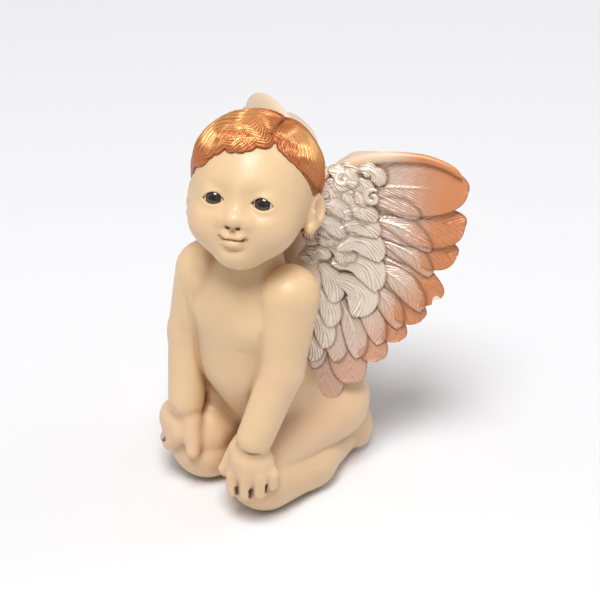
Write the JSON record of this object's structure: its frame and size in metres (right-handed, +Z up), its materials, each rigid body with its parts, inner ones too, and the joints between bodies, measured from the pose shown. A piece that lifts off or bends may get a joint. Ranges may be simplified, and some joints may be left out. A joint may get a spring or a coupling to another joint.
{
  "type": "kneeling cherub figurine",
  "caption": "Kneeling winged cherub figurine, hands resting on its knees and head turned up to its left, with curled hair and feathered wings on a flat felt sheet.",
  "frame": {"origin": "on the underside of the felt sheet, between the thighs", "axes": "+Z up; the knees point along -Y and the figure's own left side is +X"},
  "size_m": [0.0632, 0.0588, 0.0953],
  "materials": {
    "felt": "pressed felt",
    "skin": "satin cream resin with a soft peach tint",
    "hair": "copper lustre paint rubbed with gold",
    "eye_white": "gloss",
    "iris": "gloss",
    "wing": "pearl lustre paint fading to copper and gold at the feather tips"
  },
  "bodies": {
    "root": {"felt_sheet": "felt", "kneeling_body": "skin", "head": "skin", "hair_cap": "hair", "left_eye": "eye_white", "right_eye": "eye_white", "left_iris": "iris", "right_iris": "iris", "left_wing": "wing", "right_wing": "wing"}
  },
  "joints": []
}
